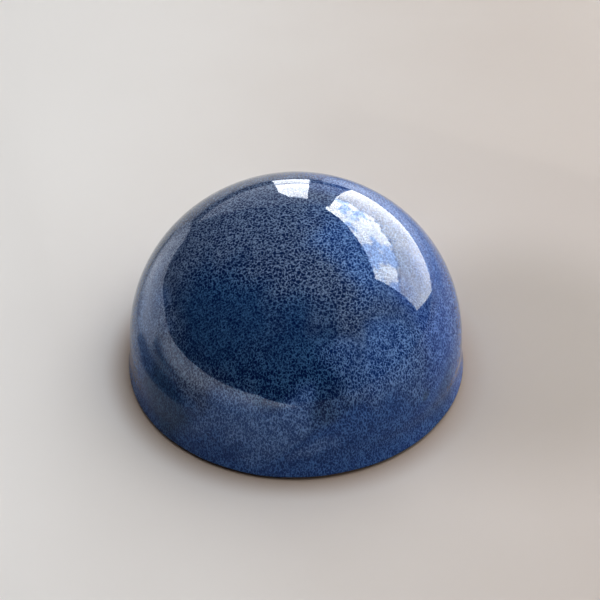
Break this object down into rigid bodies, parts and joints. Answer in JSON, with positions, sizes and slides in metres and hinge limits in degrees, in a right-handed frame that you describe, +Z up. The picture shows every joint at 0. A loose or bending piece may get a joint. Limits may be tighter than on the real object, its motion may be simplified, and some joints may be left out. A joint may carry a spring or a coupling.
{
  "type": "yarn bowl",
  "caption": "Round-bottomed glazed stoneware yarn bowl, standing rim down, with a flat rim ring and a hook-shaped slot that guides yarn out through the wall.",
  "frame": {"origin": "centre of the ring that the rim stands on, at the lowest point of the bowl", "axes": "+Z up through the round bottom, which is the highest point as the bowl stands rim down; +Y towards the yarn guide; +X to the side that the guide's hook curls to"},
  "size_m": [0.12, 0.1198, 0.0674],
  "materials": {
    "bare_stoneware": "bare fired buff stoneware, matt and slightly sandy",
    "speckled_blue_glaze": "glossy reactive cobalt glaze with dark navy speckles on slate blue",
    "liner_glaze": "the same glossy blue glaze, a little paler and thinner"
  },
  "bodies": {
    "root": {"stoneware_body": "bare_stoneware", "outer_glaze": "speckled_blue_glaze", "liner_glaze": "liner_glaze"}
  },
  "joints": []
}
